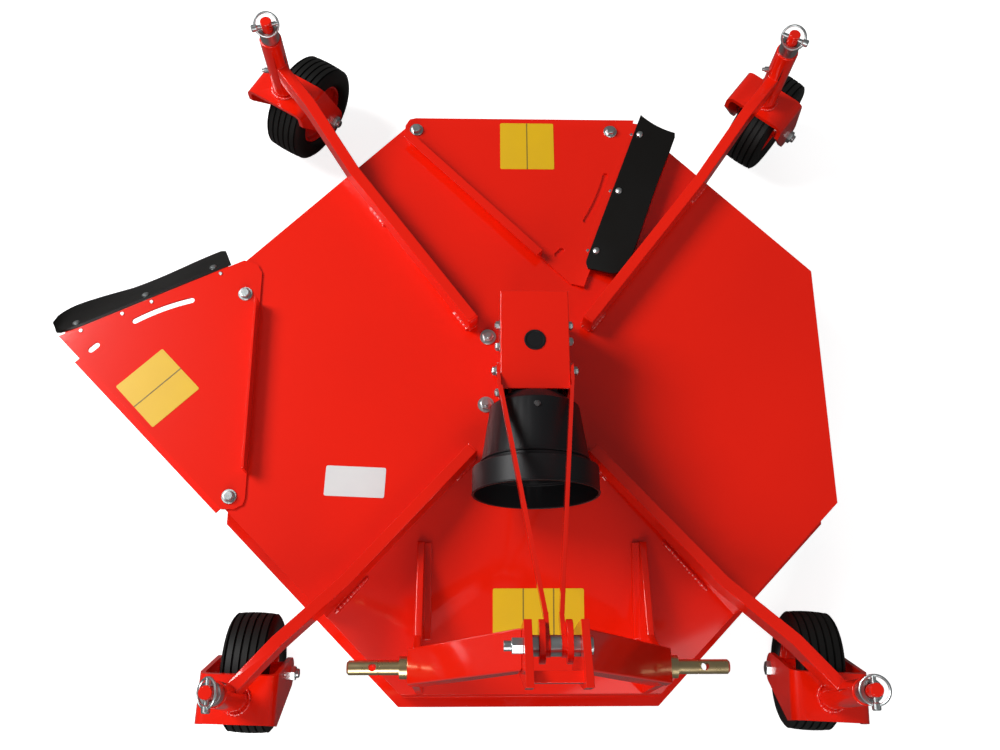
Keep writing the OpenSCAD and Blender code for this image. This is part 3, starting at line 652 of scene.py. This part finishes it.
# Weld beads, painted with the rest: beside the arms, across their ends, round the pins
weldSettings = {
    "bead": 0.0036, "step": 0.0022, "sides": 8, "swell": 0.22, "pace": 0.62,
    "endSize": 0.45, "endGrowth": 12, "rise": 0.0008, "runParts": 8,
    "sideways": 0.0105, "endSideways": 0.0095,
    "footBead": 0.0026, "footRadius": 0.0228, "footRise": 0.0012, "footParts": 36,
    "armEnds": {"fl": (-0.103, -0.143), "fr": (0.103, -0.143), "rl": (-0.103, 0.095),
                "rr": (0.103, 0.095)},
    # Runs beside each arm: from and to, along it from its inner end, and the side
    "runs": {
        "fl": [(0.0, 0.050, 1), (0.0, 0.050, -1), (0.270, 0.350, 1), (0.285, 0.350, -1)],
        "fr": [(0.0, 0.050, 1), (0.0, 0.050, -1), (0.180, 0.300, 1), (0.190, 0.300, -1)],
        "rl": [(0.0, 0.045, 1), (0.035, 0.080, -1), (0.260, 0.310, 1), (0.260, 0.310, -1)],
        "rr": [(0.0, 0.045, 1), (0.0, 0.045, -1), (0.180, 0.230, 1), (0.330, 0.380, -1)],
    },
}


def weldBead(points, size, s):
    # One rippled bead, thinner at its ends
    line = []
    for here, there in zip(points, points[1:]):
        count = max(int((there - here).length / s["step"]), 2)
        line += [here.lerp(there, k / count) for k in range(count)]
    line.append(points[-1])
    turns = math.pi * len(line) * s["pace"]

    def radiusAt(share):
        ends = min(1.0, s["endSize"] + s["endGrowth"] * min(share, 1 - share))
        return size * (1 + s["swell"] * math.sin(turns * share)) * ends

    return wire(line, radiusAt, s["sides"])


def armLines(corner, s):
    # The arm's inner end, the way along it and the way to its side, seen from above
    inner = Vector(s["armEnds"][corner])
    pivot = jointPlace("swivel_" + corner) - rotorAt
    along = (pivot.xy - inner).normalized()
    return inner, along, Vector((-along.y, along.x))


def armWeldPiece(corner, s):
    inner, along, side = armLines(corner, s)
    build = bmesh.new()
    for start, end, hand in s["runs"][corner]:
        run = []
        for k in range(s["runParts"] + 1):
            far = start + (end - start) * k / s["runParts"]
            spot = inner + along * far + side * hand * s["sideways"]
            run.append(at(spot.x, spot.y, deckHeight(spot.x, spot.y) + s["rise"]))
        addInto(build, weldBead(run, s["bead"], s), Matrix())
    ends = [inner + side * hand * s["endSideways"] - along * s["rise"] for hand in (1, -1)]
    across = [at(spot.x, spot.y, deckTop + s["rise"]) for spot in ends]
    addInto(build, weldBead(across, s["bead"], s), Matrix())
    finishPiece("armWeld_" + corner, build, "weld_paint", "chassis", 60)


def forkWeldPiece(corner, s):
    # The bead round the swivel pin's foot turns with the fork
    foot = jointPlace("swivel_" + corner)
    around = [foot + point for point in circlePoints(s["footRadius"], s["footParts"],
                                                     s["footRise"])]
    finishPiece("forkWeld_" + corner, weldBead(around, s["footBead"], s), "weld_paint",
                "caster_" + corner, 60)


# Caps that close the arms' inner ends
capSettings = {"half": 0.0098, "low": 0.0005, "high": 0.0445, "thick": 0.003, "edge": 0.0008,
               "out": 0.0028}


def armCapPiece(corner, s):
    inner, along, side = armLines(corner, weldSettings)
    cap = slab([(-s["half"], s["low"]), (s["half"], s["low"]), (s["half"], s["high"]),
                (-s["half"], s["high"])], s["thick"], s["edge"])
    # The cap's width lies across the arm, its height upright
    lay = Matrix(((side.x, 0, along.x, 0), (side.y, 0, along.y, 0), (0, 1, 0, 0), (0, 0, 0, 1)))
    spot = inner - along * s["out"]
    bmesh.ops.transform(cap, matrix=Matrix.Translation(at(spot.x, spot.y, deckTop)) @ lay,
                        verts=cap.verts)
    bmesh.ops.recalc_face_normals(cap, faces=cap.faces)
    finishPiece("armCap_" + corner, cap, "red_paint", "chassis")


for corner in corners:
    armWeldPiece(corner, weldSettings)
    armCapPiece(corner, capSettings)
    forkWeldPiece(corner, weldSettings)
print("welds made")


# Grub screws in the rear pivot tubes, on their left sides
grubSettings = {"head": 0.0052, "height": 0.008, "thread": 0.005, "shank": 0.0032,
                "tube": 0.0197, "heights": {"rl": 0.290, "rr": 0.330}}


def grubScrewPiece(corner, s):
    foot = jointPlace("swivel_" + corner)
    place = (foot.x - s["tube"], foot.y, s["heights"][corner])
    build = hexBolt(s)
    bmesh.ops.transform(build, matrix=facing(place, (-1, 0, 0)), verts=build.verts)
    finishPiece("grubScrew_" + corner, build, "bright_zinc", "chassis")


for corner in grubSettings["heights"]:
    grubScrewPiece(corner, grubSettings)
print("grub screws made")


# Blank yellow panels with divider lines, and the blank white plate
panelForm = {"thick": 0.0006, "line": 0.0022, "lineThick": 0.0002, "round": 0.003, "steps": 4}
# Each by its lower left corner from the rotor's line; plate is the sheet that it lies on
panelSettings = {
    "sidePanel": {"place": (-0.728, -0.022), "plate": 0.004, "size": (0.1035, 0.103),
                  "turn": -46, "slope": 0.0, "fields": 2, "finish": "yellow_panel"},
    "rearPanel": {"place": (-0.051, 0.420), "plate": 0.004, "size": (0.103, 0.101),
                  "turn": 0, "slope": 0.0, "fields": 2, "finish": "yellow_panel"},
    "frontPanel": {"place": (-0.067, -0.445), "plate": 0.0, "size": (0.155, 0.079),
                   "turn": 0, "slope": frontPanel["slope"], "fields": 3,
                   "finish": "yellow_panel"},
    "whitePlate": {"place": (-0.356, -0.2155), "plate": 0.0, "size": (0.103, 0.053),
                   "turn": -2.5, "slope": 0.0, "fields": 1, "finish": "white_plate"},
}


def roundedRectangle(wide, high, radius, steps):
    points = []
    for cx, cy, start in ((wide - radius, high - radius, 0), (radius, high - radius, 90),
                          (radius, radius, 180), (wide - radius, radius, 270)):
        for k in range(steps + 1):
            a = math.radians(start + 90 * k / steps)
            points.append((cx + radius * math.cos(a), cy + radius * math.sin(a)))
    return points


def panelPiece(name, s):
    form = panelForm
    wide, high = s["size"]
    turn = Matrix.Rotation(math.radians(s["turn"]), 4, "Z") @ Matrix.Rotation(s["slope"], 4, "X")
    place = Matrix.Translation(at(*s["place"], deckHeight(*s["place"]) + s["plate"])) @ turn
    sheet = slab(roundedRectangle(wide, high, form["round"], form["steps"]), form["thick"])
    bmesh.ops.transform(sheet, matrix=place, verts=sheet.verts)
    finishPiece(name, sheet, s["finish"], "chassis")
    for k in range(1, s["fields"]):
        line = slab([(0, 0), (form["line"], 0), (form["line"], high), (0, high)],
                    form["lineThick"])
        start = Vector((wide * k / s["fields"] - form["line"] / 2, 0, form["thick"]))
        bmesh.ops.transform(line, matrix=place @ Matrix.Translation(start), verts=line.verts)
        finishPiece("%sLine%d" % (name, k), line, "panel_line", "chassis")


for name, s in panelSettings.items():
    panelPiece(name, s)
print("panels made")


# Rubber flaps: X along the edge from the heel, Y down the slope, Z off the face
flapForm = {"rows": 40, "columns": 10, "thick": 0.005, "waves": 1.4, "waveStart": 0.15,
            "curlFrom": 0.55, "heelPart": 0.25, "tipDrop": 0.35,
            # The dome bolts' shape, and the studs' ends in the plate beside the edge
            "dome": [(0, 0), (0.0068, 0), (0.0068, 0.0012), (0.0055, 0.0032), (0.003, 0.0042),
                     (0, 0.0045)],
            "domeSteps": 24, "stud": 0.0034, "studHeight": 0.002, "studEdge": 0.0007,
            "studSteps": 16, "plate": 0.004}
flapSettings = {
    "side_flap": {"heel": (-0.523, 0.224), "tip": (-0.840, 0.073), "from": 0.024,
                  "to": 0.355, "start": 0.002, "width": 0.090, "slope": 45, "up": 1,
                  "base": 0.004, "off": 0.0, "wave": 0.003, "curl": 0.012,
                  "round": (0.010, 0.055), "heelEnd": (0.0, 0.0, 0.0), "face": 0.005,
                  "bolts": [(0.056, 0.014), (0.186, 0.014), (0.316, 0.014)],
                  "studs": [0.048, 0.180, 0.235, 0.312], "studAt": -0.007},
    "rear_flap": {"heel": (0.197, 0.496), "tip": (0.079, 0.179), "from": -0.036,
                  "to": 0.300, "start": 0.012, "width": 0.090, "slope": 14, "up": -1,
                  "base": 0.0, "off": -0.009, "wave": 0.001, "curl": 0.0,
                  "round": (0.002, 0.022), "heelEnd": (-0.013, 0.014, 0.005), "face": 0.0,
                  "bolts": [(-0.004, 0.024), (0.128, 0.024), (0.262, 0.024)],
                  "studs": [-0.004, 0.128, 0.262], "studAt": 0.006},
}


def flapPlace(s):
    # The flap's own frame, with its heel on the deflector's edge
    heel = at(*s["heel"], deckTop + s["base"])
    along = (at(*s["tip"], deckTop + s["base"]) - heel).normalized()
    out = Vector((along.y, -along.x, 0)) * s["up"]
    fall = math.radians(s["slope"])
    rise = Vector((0, 0, s["up"]))
    down = out * math.cos(fall) - rise * math.sin(fall)
    off = out * math.sin(fall) + rise * math.cos(fall)
    return Matrix.Translation(heel) @ Matrix((along, down, off)).transposed().to_4x4()


def flapPiece(node, s):
    form = flapForm
    long = s["to"] - s["from"]
    wide = s["width"] - s["start"]
    near, far, hollow = s["heelEnd"]
    build = bmesh.new()
    bmesh.ops.create_grid(build, x_segments=form["rows"], y_segments=form["columns"], size=0.5)
    for vert in build.verts:
        # u runs along the edge from the heel, v down the slope
        u, v = vert.co.x + 0.5, vert.co.y + 0.5
        # Both outer corners are rounded, and the end at the heel is cut on a slant
        end = min(u, 1 - u) * long
        bend = s["round"][0 if u < 0.5 else 1]
        short = bend - math.sqrt(max(bend ** 2 - max(bend - end, 0) ** 2, 0))
        pull = near * (1 - v) + far * v + hollow * 4 * v * (1 - v)
        drop = form["tipDrop"] * short * (1 - v) * (u > 0.5)
        wave = s["wave"] * math.sin(2 * math.pi * (form["waves"] * u + form["waveStart"])) * v
        curl = s["curl"] * max(u - form["curlFrom"], 0) / (1 - form["curlFrom"]) * v ** 2
        vert.co = Vector((
            s["from"] + u * long + pull * max(0.0, 1 - u / form["heelPart"]),
            s["start"] + drop + v * (wide - short + wave * 0.5),
            s["off"] + curl + wave * 0.4,
        ))
    bmesh.ops.solidify(build, geom=build.faces[:], thickness=-form["thick"])
    bmesh.ops.transform(build, matrix=flapPlace(s), verts=build.verts)
    bmesh.ops.recalc_face_normals(build, faces=build.faces)
    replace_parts(finishPiece("shaped_" + node, build, "flap_rubber", "chassis", 40), node)


def domeBoltsPiece(node, s):
    form = flapForm
    face = Matrix() if s["up"] > 0 else upsideDown
    rubber = flapPlace(s)
    edge = flapPlace(dict(s, slope=0, base=form["plate"]))
    build = bmesh.new()
    for x, y in s["bolts"]:
        spot = Matrix.Translation((x, y, s["off"] + s["face"]))
        addInto(build, lathe(form["dome"], form["domeSteps"]), rubber @ spot @ face)
    for x in s["studs"]:
        stud = disc(form["stud"], form["studHeight"], form["studEdge"], form["studSteps"])
        addInto(build, stud, edge @ Matrix.Translation((x, s["studAt"], 0)) @ face)
    finishPiece("domeBolts_" + node, build, "bright_zinc", "chassis")


for node, s in flapSettings.items():
    flapPiece(node, s)
    domeBoltsPiece(node, s)
print("flaps made")


# Stage: only the camera sees floor and room pale, so they don't wash out the paint
stageSettings = {"floor": 30.0, "pale": 0.6, "dim": 0.12, "glow": 0.82, "rough": 0.9,
                 "shine": 0.1, "room": 0.14, "roomSeen": 0.95}
lightSettings = {
    "softLeft": {"place": (-3.1, 1.3, 3.2), "size": 1.8, "power": 185},
    "softFill": {"place": (3.0, -2.2, 2.8), "size": 2.4, "power": 27},
    "softFront": {"place": (-0.6, -3.6, 2.2), "size": 2.0, "power": 76},
}
lightAim = (0, 0, 0.2)


def seenByCamera(tree, seen, otherwise):
    # One value for what the camera sees itself, another for what the paint mirrors
    path = addNode(tree, "ShaderNodeLightPath")
    extra = mathNode(tree, "MULTIPLY", path.outputs["Is Camera Ray"], seen - otherwise)
    return mathNode(tree, "ADD", extra, otherwise)


def makeFloor(s):
    mesh = bpy.data.meshes.new("floor")
    build = bmesh.new()
    bmesh.ops.create_grid(build, x_segments=1, y_segments=1, size=s["floor"] / 2)
    build.to_mesh(mesh)
    build.free()
    floor = bpy.data.objects.new("floor", mesh)
    bpy.context.collection.objects.link(floor)
    paint = bpy.data.materials.new("floorPaint")
    paint.use_nodes = True
    tree = paint.node_tree
    shader = tree.nodes["Principled BSDF"]
    shader.inputs["Roughness"].default_value = s["rough"]
    shader.inputs["Specular IOR Level"].default_value = s["shine"]
    shader.inputs["Emission Color"].default_value = (1, 1, 1, 1)
    tree.links.new(seenByCamera(tree, s["glow"], 0.0), shader.inputs["Emission Strength"])
    tree.links.new(seenByCamera(tree, s["pale"], s["dim"]), shader.inputs["Base Color"])
    mesh.materials.append(paint)


def makeRoom(s):
    world = bpy.data.worlds.new("paleRoom")
    world.use_nodes = True
    background = world.node_tree.nodes["Background"]
    background.inputs["Color"].default_value = (1, 1, 1, 1)
    world.node_tree.links.new(seenByCamera(world.node_tree, s["roomSeen"], s["room"]),
                              background.inputs["Strength"])
    bpy.context.scene.world = world


def areaLight(name, s):
    data = bpy.data.lights.new(name, "AREA")
    data.energy = s["power"]
    data.size = s["size"]
    light = bpy.data.objects.new(name, data)
    bpy.context.collection.objects.link(light)
    light.location = at(*s["place"])
    look = at(*lightAim) - light.location
    light.rotation_mode = "QUATERNION"
    light.rotation_quaternion = look.to_track_quat("-Z", "Y")


makeFloor(stageSettings)
makeRoom(stageSettings)
for name, s in lightSettings.items():
    areaLight(name, s)
bpy.context.scene.view_settings.view_transform = "Standard"
print("stage lit")
